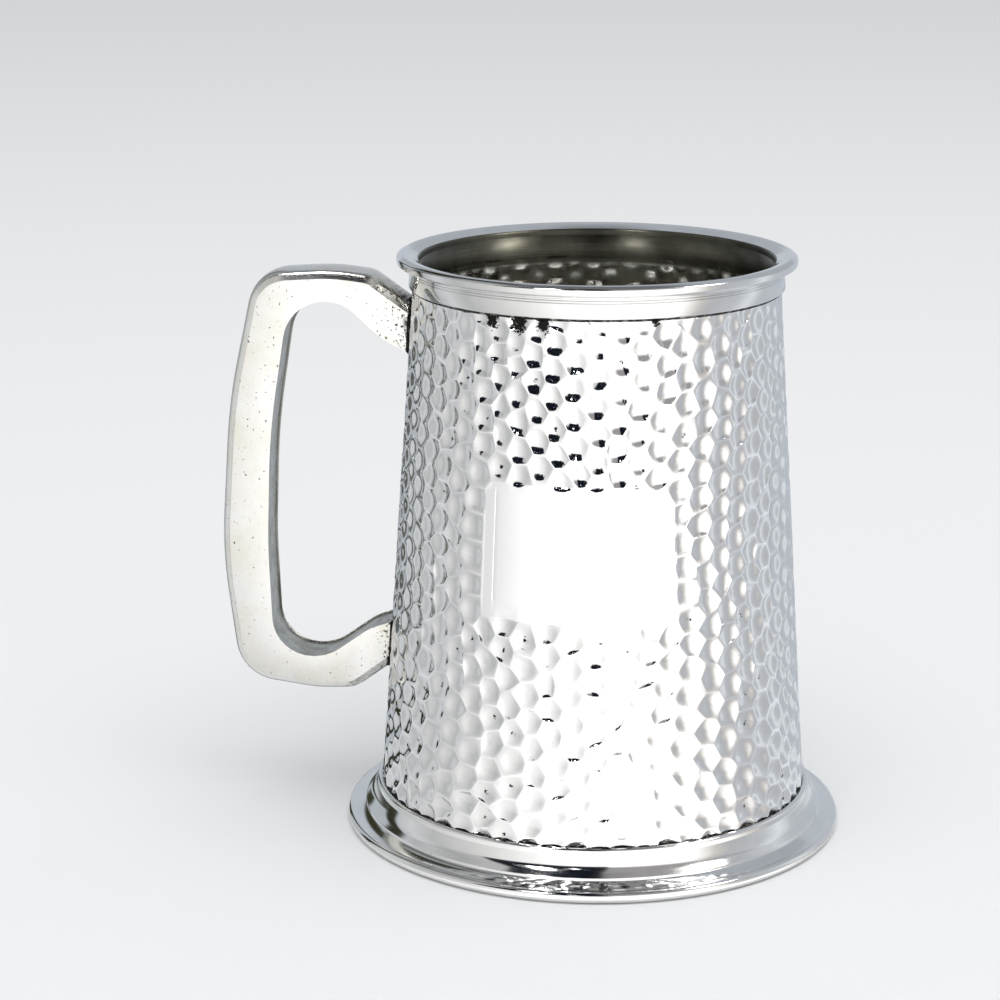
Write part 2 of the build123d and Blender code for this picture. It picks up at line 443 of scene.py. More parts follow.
def to_panel_edge(point):
    """The nearest point on the panel's outline."""
    x = min(max(point[0], PANEL_SIDES[0]), PANEL_SIDES[1])
    y = min(max(point[1], PANEL_HEIGHTS[0]), PANEL_HEIGHTS[1])
    gaps = [
        ((x - PANEL_SIDES[0]) * DEGREE, (PANEL_SIDES[0], y)),
        ((PANEL_SIDES[1] - x) * DEGREE, (PANEL_SIDES[1], y)),
        (y - PANEL_HEIGHTS[0], (x, PANEL_HEIGHTS[0])),
        (PANEL_HEIGHTS[1] - y, (x, PANEL_HEIGHTS[1])),
    ]
    return min(gaps)[1]


def held_between(value, low, high, snap):
    """value kept between low and high, and moved on to either where it is nearer than snap."""
    if value < low + snap:
        return low
    return high if value > high - snap else value


def drift(azimuth, height):
    """How far the rows of blows wander from a regular pattern, in millimetres."""
    sides = [d * DEGREE for d in (azimuth - SHEET_ENDS[0], SHEET_ENDS[1] - azimuth)]
    ends = (height - HAMMERED_HEIGHTS[0], HAMMERED_HEIGHTS[1] - height)
    reach = DRIFT * min(max(min(*ends, *sides) / DRIFT_FADE, 0.0), 1.0)
    return (
        reach * math.sin(height / 9 + azimuth / 14),
        reach * math.sin(azimuth / 17 - height / 21 + 1),
    )


def hammered_layout():
    """The cells' outlines on the flat sheet, each a list of (azimuth, height) corners."""
    low_row = math.floor((HAMMERED_HEIGHTS[0] - PANEL_HEIGHTS[0]) / PITCH_UP) - 1
    high_row = math.ceil((HAMMERED_HEIGHTS[1] - PANEL_HEIGHTS[0]) / PITCH_UP) + 1
    cells = [(c, r) for c in range(-1, COLUMNS + 1) for r in range(low_row, high_row)]
    dropped = {cell for cell in cells if inside_panel(cell_centre(*cell), PITCH_UP / 4)}
    snapped = {corner for cell in dropped for corner in cell_corners(*cell)}
    corners = {}
    for cell in cells:
        for key in cell_corners(*cell):
            if key in corners:
                continue
            column, row, side = key
            x, y = cell_centre(column, row)
            x += side * PITCH_ACROSS * 2 / 3
            dx, dy = rng.normal(0, CELL_JITTER, 2) + drift(x, y)
            point = (x + dx / DEGREE, y + dy)
            if key in snapped or inside_panel(point, 0):
                point = to_panel_edge(point)
            corners[key] = (
                held_between(point[0], *SHEET_ENDS, END_SNAP / DEGREE),
                held_between(point[1], *HAMMERED_HEIGHTS, 0),
            )
    layout = []
    for cell in cells:
        if cell in dropped:
            continue
        outline = tidy_run([corners[key] for key in cell_corners(*cell)], REPEAT_GAP)
        sides = zip(outline, outline[1:] + outline[:1])
        area = sum(a[0] * b[1] - b[0] * a[1] for a, b in sides) / 2
        if len(outline) > 2 and area > 1e-6:
            layout.append(outline)
    return layout


def divided(outline):
    """The outline with its sides divided, the same way in both of the cells that share a side."""
    out = []
    for a, b in zip(outline, outline[1:] + outline[:1]):
        length = math.hypot((b[0] - a[0]) * DEGREE, b[1] - a[1])
        parts = min(3, max(1, round(length / SIDE_STEP)))
        for k in range(parts):
            out.append((a[0] + (b[0] - a[0]) * k / parts, a[1] + (b[1] - a[1]) * k / parts))
    return out


class Sheet:
    """The flat sheet: its points and faces, with the depth, oxide and painted ridge highlight of
    each point.
    """

    def __init__(self):
        self.mesh = bmesh.new()
        self.depth = self.mesh.verts.layers.float.new("depth")
        self.oxide = self.mesh.verts.layers.float.new("oxide")
        self.ridge_highlight = self.mesh.verts.layers.float.new("ridge_highlight")
        self.shared = {}

    def point(self, azimuth, height, depth=0.0, oxide=0.0, ridge_highlight=0.0):
        made = self.mesh.verts.new((azimuth * DEGREE, height, 0))
        made[self.depth] = depth
        made[self.oxide] = max(oxide, stain(azimuth, height))
        made[self.ridge_highlight] = ridge_highlight
        return made

    def edge_point(self, azimuth, height):
        key = (round(azimuth * DEGREE, 3), round(height, 3))
        if key not in self.shared:
            # A point on a cell's rim lies on a ridge and gets the full painted highlight.
            self.shared[key] = (self.point(azimuth, height, ridge_highlight=1.0), [])
        return self.shared[key]

    def face(self, corners):
        kept = [v for k, v in enumerate(corners) if v is not corners[k - 1]]
        if len(kept) > 2:
            self.mesh.faces.new(kept)


def stain(azimuth, height):
    """How stained the sheet is, just under the band of the lip."""
    wide, tall = STAIN_SIZE
    down = (height - LIP_LOW.z) / tall
    reach = [math.hypot((azimuth - spot) * DEGREE / wide, down) / size for spot, size in STAINS]
    return max(0.0, 1.15 - min(reach))


def bowl_height(distance, depth):
    """Height of a hammered bowl at a distance from its middle, level at the sheet's surface."""
    height = distance ** 2 / (2 * HAMMER_RADIUS) - depth
    rounding = BOWL_BLEND * math.log1p(math.exp(-abs(height) / BOWL_BLEND))
    return min(height, 0.0) - rounding + BOWL_BLEND * 0.05


def blow(sheet, outline):
    """One hammer blow: its middle, its rim with each rim point's distance, and how it fell."""
    rim = divided(outline)
    centre = np.mean(rim, axis=0) + rng.normal(0, OFF_CENTRE, 2) / (DEGREE, 1)
    spans = [math.hypot((p[0] - centre[0]) * DEGREE, p[1] - centre[1]) for p in rim]
    fullness = min(np.mean(spans) / FULL_CELL, 1.0) ** 2
    depth = CELL_DEPTH * min(1.0, fullness * rng.uniform(0.85, 1.05))
    if centre[1] > HAMMERED_HEIGHTS[1] - PITCH_UP:
        depth *= rng.uniform(0.5, 1.0)
    if centre[1] < FOOT_HIGH.z + PITCH_UP / 2:
        depth *= 0.75
    first, last, top = PITTED_PATCH
    in_patch = centre[1] < top and first < centre[0] < last
    pitted = rng.random() < (PITTED_PATCH_SHARE if in_patch else PITTED_SHARE)
    edge = [sheet.edge_point(*p) for p in rim]
    for (_, heights), span in zip(edge, spans):
        heights.append(bowl_height(span, depth))
    return centre, rim, edge, spans, depth, pitted, FLATTENING * rng.uniform(0, 1)


def sink_bowl(sheet, centre, rim, edge, spans, depth, pitted, flatness):
    """Rings of points from the shared rim down to the bowl's middle, and the faces between them."""
    outer = [vertex for vertex, _ in edge]
    flat = bowl_height(RINGS[FLAT_RING] * np.mean(spans), depth)
    for scale in RINGS:
        ring = []
        mark = 0.42 if pitted and scale == RINGS[-1] else 0.0
        # The first ring inside the rim takes part of the ridge's painted highlight.
        sheen = 0.4 if scale == RINGS[0] else 0
        for p, span, (vertex, _) in zip(rim, spans, edge):
            height = bowl_height(scale * span, depth)
            if scale < RINGS[FLAT_RING]:
                height += (flat - height) * flatness
            pull = vertex[sheet.depth] - bowl_height(span, depth)
            x, y = centre + scale * (np.array(p) - centre)
            ring.append(sheet.point(x, y, height + pull * scale ** 8, mark, sheen))
        for k in range(len(rim)):
            sheet.face([outer[k - 1], outer[k], ring[k], ring[k - 1]])
        outer = ring
    lowest = bowl_height(0, depth) + (flat - bowl_height(0, depth)) * flatness
    if pitted:
        middle = sheet.point(*centre, lowest - 0.05, 0.62)
    else:
        middle = sheet.point(*centre, lowest)
    for k in range(len(rim)):
        sheet.face([outer[k - 1], outer[k], middle])


def hammer(sheet, layout):
    """Sinks one bowl in each cell, blended into the ridges that it shares with its neighbours."""
    blows = [blow(sheet, outline) for outline in layout]
    for vertex, heights in sheet.shared.values():
        vertex[sheet.depth] = sum(heights) / len(heights)
    for one in blows:
        sink_bowl(sheet, *one)


def lay_panel(sheet):
    """Fills the panel with plain sheet, cut along lines so that it can be rolled and engraved."""
    bm = sheet.mesh
    near = 1e-3
    left, right = (side * DEGREE for side in PANEL_SIDES)
    low, high = PANEL_HEIGHTS

    def on_edge(vertex):
        x, y = vertex.co.x, vertex.co.y
        return left - near < x < right + near and low - near < y < high + near

    loop = [e for e in bm.edges if e.is_boundary and all(on_edge(v) for v in e.verts)]
    plain = bmesh.ops.edgenet_fill(bm, edges=loop)["faces"]
    bmesh.ops.inset_region(bm, faces=plain, thickness=PANEL_BORDER, use_even_offset=True)
    sides = (left + FRAME_LINE[0], right - FRAME_LINE[0])
    levels = (low + FRAME_LINE[1], high - FRAME_LINE[2])
    cuts = [(x, 0) for x in np.linspace(left + 0.5, right - 0.5, PANEL_CUTS)]
    cuts += [(side + LINE_WIDTH * k, 0) for side in sides for k in (-0.5, 0, 0.5)]
    cuts += [(level + LINE_WIDTH * k, 1) for level in levels for k in (-0.5, 0, 0.5)]
    pieces = set(plain)
    for value, axis in cuts:
        spot, normal = [0, 0, 0], [0, 0, 0]
        spot[axis], normal[axis] = value, 1
        geometry = set(pieces) | {e for f in pieces for e in f.edges}
        geometry |= {v for f in pieces for v in f.verts}
        made = bmesh.ops.bisect_plane(bm, geom=list(geometry), plane_co=spot, plane_no=normal,
                                      dist=1e-5)
        pieces |= {g for g in made["geom"] if isinstance(g, bmesh.types.BMFace)}
    for vertex in {v for f in pieces for v in f.verts}:
        x, y = vertex.co.x, vertex.co.y
        within = (sides[0] - near < x < sides[1] + near, levels[0] - near < y < levels[1] + near)
        upright = within[1] and min(abs(x - side) for side in sides) < near
        level = within[0] and min(abs(y - level) for level in levels) < near
        vertex[sheet.depth] = PANEL_DEPTH - (LINE_DEPTH if upright or level else 0.0)


def plain_band(sheet, level, target):
    """Carries the sheet's edge at one height on to another, as plain sheet."""
    bm = sheet.mesh

    def on_level(edge):
        return edge.is_boundary and all(abs(v.co.y - level) < 1e-4 for v in edge.verts)

    edges = [e for e in bm.edges if on_level(e)]
    made = bmesh.ops.extrude_edge_only(bm, edges=edges)["geom"]
    for vertex in (g for g in made if isinstance(g, bmesh.types.BMVert)):
        vertex.co.y = target
        vertex[sheet.depth] = 0.0


def inner_dent(height, depth):
    """How far a blow shows on the inside, which is smooth for a way below the mouth."""
    share = (SMOOTH_BELOW - height) / DENT_FADE
    return DENT_SHARE * depth * min(max(share, 0.0), 1.0)


def make_barrel():
    """Rolls the hammered sheet into the barrel: its outer face, its inner face and its edges."""
    sheet = Sheet()
    hammer(sheet, hammered_layout())
    lay_panel(sheet)
    low, high = HAMMERED_HEIGHTS
    plain_band(sheet, low, BARREL_LOW.z)
    plain_band(sheet, high, high + 0.5)
    plain_band(sheet, high + 0.5, BARREL_HIGH.z)
    bm = sheet.mesh
    bm.verts.ensure_lookup_table()
    bm.normal_update()
    bmesh.ops.recalc_face_normals(bm, faces=bm.faces)
    flat = [(v.co.x / DEGREE, v.co.y, v[sheet.depth]) for v in bm.verts]
    oxides = [v[sheet.oxide] for v in bm.verts]
    ridges = [v[sheet.ridge_highlight] for v in bm.verts]
    faces = [tuple(v.index for v in f.verts) for f in bm.faces]
    if sum(f.normal.z for f in bm.faces) < 0:
        faces = [tuple(reversed(f)) for f in faces]
    border = [e for e in bm.edges if e.is_boundary]
    border = [(e.verts[0].index, e.verts[1].index, e.link_loops[0].vert.index) for e in border]
    bm.free()
    count = len(flat)
    points = [polar(wall(y) + d, math.radians(x), y) for x, y, d in flat]
    for x, y, d in flat:
        points.append(polar(wall(y, SHEET) + inner_dent(y, d), math.radians(x), y))
    outer_faces = len(faces)
    faces += [tuple(count + k for k in reversed(face)) for face in faces]
    for a, b, first in border:
        if first != a:
            a, b = b, a
        faces.append((b, a, a + count, b + count))
    piece = make_piece("hammered_barrel", points, faces, HAMMERED, ("barrel",), "hammered_pewter",
                       sharp=180)
    piece.data.materials.append(TARNISH_AND_PAINTED_LIGHT)
    inner = [0] * outer_faces + [1] * (len(piece.data.polygons) - outer_faces)
    piece.data.polygons.foreach_set("material_index", inner)
    add_attribute(piece, "oxide", oxides + [0.0] * count)
    add_attribute(piece, "ridge_highlight", ridges + [0.0] * count)


make_barrel()


# ---- lip moulding ----
REEDS = (3.05, 3.55, 4.05)               # grooves between the reeds, above the band's lower edge
REED_HALF = 0.13
JOINT_LOW, JOINT_HIGH = box_mm("lip_joint_solder")
JOINT_X, JOINT_Y = (JOINT_LOW.x + JOINT_HIGH.x) / 2, (JOINT_LOW.y + JOINT_HIGH.y) / 2
JOINT_AZIMUTH = math.degrees(math.atan2(JOINT_X, -JOINT_Y))
JOINT_HALF = 0.45                        # half the joint's width, in degrees
INNER_SLOPE = 3.7                        # the dark slope inside the crest starts this far in


def lip_profile():
    """Section of the lip: plain band, three reeds, neck, and a rounded lip over the sheet."""
    low, top, widest = LIP_LOW.z, LIP_HIGH.z, LIP_HIGH.x
    band = outer_radius("lip_moulding", low)
    neck = band - 0.25
    outside = [(neck, low), (band, low + 0.25)]
    for reed in REEDS:
        groove = low + reed
        outside += [(neck + 0.08, groove - REED_HALF), (neck - 0.10, groove)]
        outside.append((neck + 0.08, groove + REED_HALF))
    mouth = wall(BARREL_HIGH.z, SHEET)
    neck_curve = [
        (neck, low + 4.4), (neck, top - 2.5), (widest, top - 2.15), (widest, top - 0.75),
        (widest - 1.1, top - 0.12), (widest - 2.6, top - 0.35), (mouth + 0.1, top - 1.3),
        (mouth, BARREL_HIGH.z),
    ]
    curve = [tuple(p) for p in rounded(neck_curve, [0.75, 0.45, 0.5, 1.2, 1.2, 0.6], 8)]
    return outside + curve + [(wall(BARREL_HIGH.z, 0.02), BARREL_HIGH.z), (wall(low, 0.3), low)]


lip = lathe("lip_ring", lip_profile(), LIP, start=JOINT_AZIMUTH + JOINT_HALF,
            sweep=359.999 - 2 * JOINT_HALF, replaced=("lip_moulding",), slot="lip_pewter", sharp=50)


# ---- foot ----
COLLAR = 1.05                            # the collar stands this far out from the barrel
COVE = [(46.35, 5.35), (47.8, 3.95)]     # the cove's corner, and its edge above the step
STEP = (47.95, 3.45)
FLANGE_END = (50.05, 2.35)
FOOT_LIP = 1.2                           # radius of the foot's rounded lip
HOLLOW_BACK = [(49.2, 1.2), (47.2, 2.3), (45.6, 2.9)]


def foot_profile():
    """Section of the foot: collar, cove, step, sloping flange, rounded lip and hollow back."""
    top, widest = FOOT_HIGH.z, FOOT_HIGH.x
    collar = wall(top) + COLLAR
    flange = [
        (wall(top, -0.02), top - 0.1), (wall(top) + 0.35, top), (collar - 0.05, top - 0.15),
        (collar, 7.6), *COVE, STEP, FLANGE_END,
    ]
    outside = [tuple(p) for p in rounded(flange, [0.2, 0.6, 0.9, 4.4, 0.22, 0.12], 10)]
    lip = [
        (widest - FOOT_LIP + FOOT_LIP * math.cos(a), FOOT_LIP + FOOT_LIP * math.sin(a))
        for a in np.radians(np.linspace(108, -78, 22))
    ]
    resting_ring = [(widest - 1.4, 0), (widest - 2.3, 0)]
    return outside + lip + resting_ring + HOLLOW_BACK + [(wall(BARREL_LOW.z, -0.02), 3.4)]


lathe("turned_foot", foot_profile(), SPUN, segments=360, replaced=("foot_moulding",),
      slot="spun_pewter", sharp=50)


# ---- floor ----
FLOOR_CROWN = 0.35                       # the floor's middle stands this much above its edge


def floor_profile():
    """Section of the floor: flat below with a bevelled edge, and slightly crowned above."""
    low, high = FLOOR_LOW.z, FLOOR_HIGH.z
    edge = wall(high, SHEET)
    rim = [(0.01, low), (edge - 1.0, low), (edge, low + 0.4), (edge, high)]
    crown = [(edge * k / 8, high + FLOOR_CROWN * (1 - (k / 8) ** 2)) for k in range(7, 0, -1)]
    return rim + crown + [(0.01, high + FLOOR_CROWN)]


lathe("floor_plate", floor_profile(), FLOOR, segments=144, replaced=("floor_disc",),
      slot="floor_pewter")


# ---- solder lines ----
def ragged(amount, seed):
    """A wobble that roughens a ring's radius and height, the same at every run."""
    local = np.random.default_rng(seed)
    rates = (7, 19, 41, 73, 113)
    waves = [(n, local.uniform(0, 2 * math.pi), local.uniform(0.5, 1)) for n in rates]

    def wobble(index, radius, height, azimuth):
        total = sum(size * math.sin(n * azimuth + phase + index) for n, phase, size in waves)
        value = total / len(waves)
        return radius + amount * value, height + amount * 0.6 * value

    return wobble


def solder_ring(name, height, section, roughness, seed, node):
    """A ragged ring of solder; its section is (in from the barrel's outside, up from height)."""
    profile = [(wall(height, inset), height + up) for inset, up in section]
    lathe(name, profile, SOLDER, wobble=ragged(roughness, seed), replaced=(node,), slot="solder")


lip_joint = lathe("lip_joint", lip_profile(), LIP, segments=6, start=JOINT_AZIMUTH - JOINT_HALF,
                  sweep=2 * JOINT_HALF, wobble=ragged(0.05, 4), replaced=("lip_joint_solder",),
                  slot="solder", sharp=50)
solder_ring(
    "floor_bead", FLOOR_HIGH.z,
    [(SHEET + 1.1, 0.02), (SHEET + 0.4, 0.25), (SHEET, 0.9), (SHEET - 0.3, 0.4), (SHEET, -0.2)],
    0.2, 3, "floor_solder")
solder_ring(
    "foot_solder_line", FOOT_HIGH.z,
    [(0.75, -1.0), (-0.02, -1.0), (-0.06, -0.1), (0.1, 0.12), (0.65, 0.35)],
    0.12, 5, "foot_solder")
solder_ring(
    "lip_solder_line", LIP_LOW.z,
    [(0.6, 0.4), (0.5, -0.60), (0.0, -0.50), (-0.42, -0.10), (-0.35, 0.3)],
    0.16, 7, "lip_solder")


def darken_inner_slope(piece):
    """Gives the lip's slope inside its crest the look of the inside: tarnish, and painted shade
    over its reflection.
    """
    piece.data.materials.append(TARNISH_AND_PAINTED_LIGHT)
    for face in piece.data.polygons:
        inside = math.hypot(face.center.x, face.center.y) < (LIP_HIGH.x - INNER_SLOPE) * MM
        if inside and face.center.z > BARREL_HIGH.z * MM:
            face.material_index = 1


darken_inner_slope(lip)
darken_inner_slope(lip_joint)


# ---- handle ----
# The flat side of the handle, in X and Z: straight runs joined by arcs, as the cast bar was drawn.
HANDLE_OUTSIDE = [
    (-34.0, 104.4), (-46.4, 113.2), (-53.6, 114.1), (-68.3, 113.1), (-74.0, 87.2),
    (-76.2, 55.5), (-73.0, 29.9), (-58.2, 27.9), (-50.7, 28.2), (-38.0, 37.6),
]
HANDLE_OUTSIDE_ARCS = [3.3, 40.0, 6.9, 120.0, 90.0, 7.4, 20.0, 4.4]
HANDLE_INSIDE = [
    (-34.0, 97.8), (-43.1, 102.0), (-51.7, 110.1), (-63.0, 108.7), (-67.3, 81.5),
    (-68.2, 57.7), (-67.3, 33.1), (-55.4, 33.3), (-46.4, 39.8), (-38.0, 42.7),
]
HANDLE_INSIDE_ARCS = [20.0, 9.0, 9.2, 150.0, 120.0, 8.6, 10.3, 11.4]
SIDE = box_mm("handle")[1].y             # the flat sides lie this far either side of y = 0
EDGE = 1.0                               # bevel between a flat side and the rounded back
CROWN = 2.15                             # the back stands this far beyond the flat sides' outline
INNER_EDGE = 0.35                        # bevel between a flat side and the inner face
END_DEPTH = 0.9                          # the ends stop this deep in the thickness of the sheet
NEAR_REACH = (9.0, 5.0)                  # the darkening and the extra pits reach this far from the barrel: upper, lower end
INNER_DULL = 0.95                        # how dull the inner face is,
END_DULL = 0.35                          # the ends next to the barrel,
UPPER_BACK_DULL = 0.35                   # and, on top of that, the upper end's back


def refined(run, longest=2.5):
    """Pairs of matching points with more of them along long stretches."""
    out = [run[0]]
    for before, after in zip(run, run[1:]):
        length = max((after[k] - before[k]).length for k in (0, 1))
        parts = max(1, math.ceil(length / longest))
        for part in range(1, parts + 1):
            out.append(tuple(before[k].lerp(after[k], part / parts) for k in (0, 1)))
    return out


def normals_of(points, towards):
    """Unit normals along a run of points, on the side given by the sign of towards."""
    out = []
    for k in range(len(points)):
        ahead = points[min(k + 1, len(points) - 1)] - points[max(k - 1, 0)]
        out.append(Vector((-ahead.y, ahead.x)).normalized() * towards)
    return out


def handle_section():
    """The handle's section, as (outline, distance outward, y): outline 0 is inner, 1 outer."""
    crown = [
        (1, EDGE + (CROWN - EDGE) * math.cos(a), (SIDE - EDGE) * math.sin(a))
        for a in np.radians(np.linspace(-90, 90, 13))
    ]
    near = [
        (0, 0, -SIDE + INNER_EDGE), (0, -INNER_EDGE, -SIDE), (1, 0, -SIDE),
        (1, 0.1, -SIDE + 0.03),
    ]
    far = [(line, out, -y) for line, out, y in reversed(near)]
    return near + crown + far


def handle_run():
    """Matching points of the two outlines, with their normals."""
    outside = rounded(HANDLE_OUTSIDE, HANDLE_OUTSIDE_ARCS, 8)
    inside = rounded(HANDLE_INSIDE, HANDLE_INSIDE_ARCS, 8)
    pairs = refined(list(zip(inside, outside)))
    inner, outer = [p[0] for p in pairs], [p[1] for p in pairs]
    return inner, outer, normals_of(inner, -1), normals_of(outer, -1)


def inset_of(point):
    """How far a point lies inside the barrel's outer cone."""
    return wall(point[2]) - math.hypot(point[0], point[1])


def handle_rows_of(section):
    """The section's points, one row for each point along the handle."""
    inner, outer, inner_out, outer_out = handle_run()
    rows = []
    for k in range(len(inner)):
        row = []
        for line, distance, y in section:
            base, out = (outer[k], outer_out[k]) if line else (inner[k], inner_out[k])
            spot = base + out * distance
            row.append((spot.x, y, spot.y))
        rows.append(row)
    return rows


def stop_in_sheet(piece):
    """Cuts the handle's ends off inside the thickness of the sheet, and closes them."""
    bm = bmesh.new()
    bm.from_mesh(piece.data)
    spot = Vector((-wall(0, END_DEPTH), 0, 0)) * MM
    away = Vector((1, 0, -TAPER)).normalized()
    cut = bmesh.ops.bisect_plane(bm, geom=bm.verts[:] + bm.edges[:] + bm.faces[:],
                                 plane_co=spot, plane_no=away, clear_outer=True)
    rims = [g for g in cut["geom_cut"] if isinstance(g, bmesh.types.BMEdge)]
    bmesh.ops.holes_fill(bm, edges=rims)
    bmesh.ops.recalc_face_normals(bm, faces=bm.faces)
    bm.to_mesh(piece.data)
    bm.free()


def make_handle():
    """The cast bar, with its darkening and its nearness to the barrel at each point; returns its
    rows of points.
    """
    section = handle_section()
    count = len(section)
    rows = handle_rows_of(section)
    points = [p for row in rows for p in row]
    faces = []
    for k in range(len(rows) - 1):
        for index in range(count):
            after = (index + 1) % count
            a, b = k * count, (k + 1) * count
            faces.append((a + index, a + after, b + after, b + index))
    faces.append(tuple(reversed(range(count))))
    faces.append(tuple(range(len(points) - count, len(points))))
    piece = make_piece("bar_handle", points, faces, CAST, ("handle",), "cast_pewter", sharp=30)
    stop_in_sheet(piece)
    inner = handle_run()[0]
    spots = [v.co / MM for v in piece.data.vertices]
    add_attribute(piece, "darkening", [darkening_at(spot, inner) for spot in spots])
    add_attribute(piece, "near_barrel", [nearness(spot) for spot in spots])
    return rows


def nearness(point):
    """How near the barrel a point of the handle is: 1 at the barrel, 0 a little way off."""
    reach = NEAR_REACH[0] if point.z > BARREL_HIGH.z / 2 else NEAR_REACH[1]
    return min(1.0, max(0.0, 1.0 + inset_of(point) / reach))


def darkening_at(point, inner):
    """How dull the handle is: the inner face, and the ends next to the barrel."""
    spot = Vector((point.x, point.z))
    on_inner = min((spot - p).length for p in inner) < 0.1 and abs(point.y) < SIDE - INNER_EDGE / 2
    on_back = UPPER_BACK_DULL if abs(point.y) < SIDE - 0.2 and point.z > 90 else 0.0
    inner_dull = INNER_DULL if on_inner else 0.0
    return min(1.0, inner_dull + nearness(point) * (END_DULL + on_back))


def crossing(line, inset):
    """The point of a lengthwise line of the handle that lies this far inside the barrel's cone."""
    for before, after in zip(line, line[1:]):
        a, b = inset_of(before), inset_of(after)
        if (a - inset) * (b - inset) <= 0 and a != b:
            return Vector(before).lerp(Vector(after), (a - inset) / (a - b))
    return Vector(line[0])


def solder_collar(name, rows, node, seed):
    """A ragged fillet of solder round one end of the handle."""
    local = np.random.default_rng(seed)
    count = len(rows[0])
    ring = [crossing([row[k] for row in rows], 0.15) for k in range(count)]
    middle = sum(ring, Vector()) / count
    points, faces = [], []
    for k, foot in enumerate(ring):
        away = foot - middle
        away = (away - Vector((away.x, 0, 0))).normalized()
        size = local.uniform(0.25, 0.75)
        on_bar = crossing([row[k] for row in rows], -size)
        hollow = on_bar.lerp(foot, 0.5) + away * size * 0.45
        points += [foot + away * -0.3, on_bar + away * 0.02, hollow, foot + away * size]
    for k in range(count):
        a, b = k * 4, (k + 1) % count * 4
        faces += [(a + j, a + (j + 1) % 4, b + (j + 1) % 4, b + j) for j in range(4)]
    make_piece(name, [tuple(p) for p in points], faces, SOLDER, (node,), "solder", sharp=180)


handle_rows = make_handle()
half = len(handle_rows) // 2
solder_collar("upper_solder_collar", handle_rows[:half], "upper_handle_solder", 21)
solder_collar("lower_solder_collar", handle_rows[:half:-1], "lower_handle_solder", 22)


# ---- side seam ----
lathe(
    "seam_solder",
    [(wall(z, 0.12), z) for z in np.linspace(SEAM_LOW.z, SEAM_HIGH.z, 60)]
    + [(wall(z, SHEET - 0.08), z) for z in np.linspace(SEAM_HIGH.z, SEAM_LOW.z, 60)],
    LIP, segments=3, start=SEAM_AZIMUTH - SEAM_HALF, sweep=2 * SEAM_HALF,
    wobble=ragged(0.06, 9), replaced=("side_seam_solder",), slot="solder")


# ---- studio ----
# The light is worked out round the tankard: an angle is counted from straight towards the camera,
# to the right.  A wall of light stands near it, bright up to a little below the camera's height.
VIEW = 4.86                              # azimuth of the camera round the tankard
WALL_RADIUS = 300.0
BRIGHT_HEIGHT = 181.0
SHARP_EDGE = 7                           # height over which the bright wall turns dark
SOFT_EDGE = 50                           # and over which it turns mauve
CEILING = 760.0
CEILING_START = 560                      # the wall turns into the ceiling's tone from here up
DARK_ANGLES = (-58, 9)                   # the upper wall is dark between these angles
MAUVE_END = 58                           # and mauve from there to this one
WHITE = (1.5, 1.5, 1.5)
GLARE = (14.0, 14.0, 14.0)
DARK = (0.006, 0.009, 0.016)
MAUVE = (0.40, 0.385, 0.39)
OVERHEAD = (0.16, 0.165, 0.18)
ROUND_LIGHT = [                          # the light of the table and of the lower wall, by angle
    (-180, (0.58, 0.62, 0.68)), (-148, (0.56, 0.60, 0.66)), (-146, (0.04, 0.04, 0.02)),
    (-139, (0.04, 0.04, 0.02)), (-137, (0.52, 0.56, 0.60)), (-122, (0.52, 0.56, 0.60)),
    (-120, (0.03, 0.03, 0.015)), (-112, (0.03, 0.03, 0.015)), (-110, (0.58, 0.61, 0.64)),
    (-98, (0.74, 0.76, 0.78)), (-82, (0.58, 0.59, 0.60)), (-56, (0.80, 0.80, 0.80)),
    (-26, (1.22, 1.22, 1.22)), (-17, WHITE), (48, WHITE), (62, (0.74, 0.71, 0.68)),
    (70, (0.56, 0.57, 0.60)), (90, (0.62, 0.65, 0.69)), (103, (0.88, 0.92, 0.97)),
    (114, (0.60, 0.63, 0.68)), (136, (0.56, 0.60, 0.66)), (180, (0.58, 0.62, 0.68)),
]
LAMPS = [(-31, 400, 6, 90), (74, 420, 9, 110), (-9, 300, 2, 12)]  # angle, height, half sizes
TABLE_HEIGHT = 0.4
TABLE_GAP = 0.8                          # the table's light starts this far out from the foot


def blend(low, high, value, start, end):
    """low below start, high above end, and a mix of the two between them."""
    share = min(max((value - start) / (end - start), 0.0), 1.0)
    return np.array(low) * (1 - share) + np.array(high) * share


def light_from(angle, height):
    """Colour of the light that the wall gives at an angle and a height."""
    angles, colors = zip(*ROUND_LIGHT)
    near = np.array([np.interp(angle, angles, channel) for channel in zip(*colors)])
    if any(abs(angle - a) < wide and abs(height - z) < tall for a, z, wide, tall in LAMPS):
        return np.array(GLARE)
    first_dark, last_dark = DARK_ANGLES
    if first_dark < angle < last_dark:
        return blend(near, DARK, height, BRIGHT_HEIGHT, BRIGHT_HEIGHT + SHARP_EDGE)
    if last_dark <= angle < MAUVE_END:
        light = blend(near, MAUVE, height, BRIGHT_HEIGHT, BRIGHT_HEIGHT + SOFT_EDGE)
    else:
        light = blend(near, near * 0.8, height, BRIGHT_HEIGHT, BRIGHT_HEIGHT + SHARP_EDGE)
    return blend(light, OVERHEAD, height, CEILING_START, CEILING)


def glowing_mesh(name, points, faces, colors):
    """A stage piece that shows only in reflections, with the light of each of its points."""
    piece = new_object(name, points, faces)
    layer = piece.data.color_attributes.new("light", "FLOAT_COLOR", "POINT")
    layer.data.foreach_set("color", [c for color in colors for c in (*color, 1)])
    material = bpy.data.materials.new(name)
    material.use_nodes = True
    tree = material.node_tree
    tree.nodes.clear()
    glow = tree.nodes.new("ShaderNodeEmission")
    light = tree.nodes.new("ShaderNodeAttribute")
    light.attribute_name = "light"
    out = tree.nodes.new("ShaderNodeOutputMaterial")
    tree.links.new(light.outputs["Color"], glow.inputs["Color"])
    tree.links.new(glow.outputs[0], out.inputs["Surface"])
    piece.data.materials.append(material)
    piece.visible_camera = False
    piece.visible_diffuse = False
    piece.visible_shadow = False


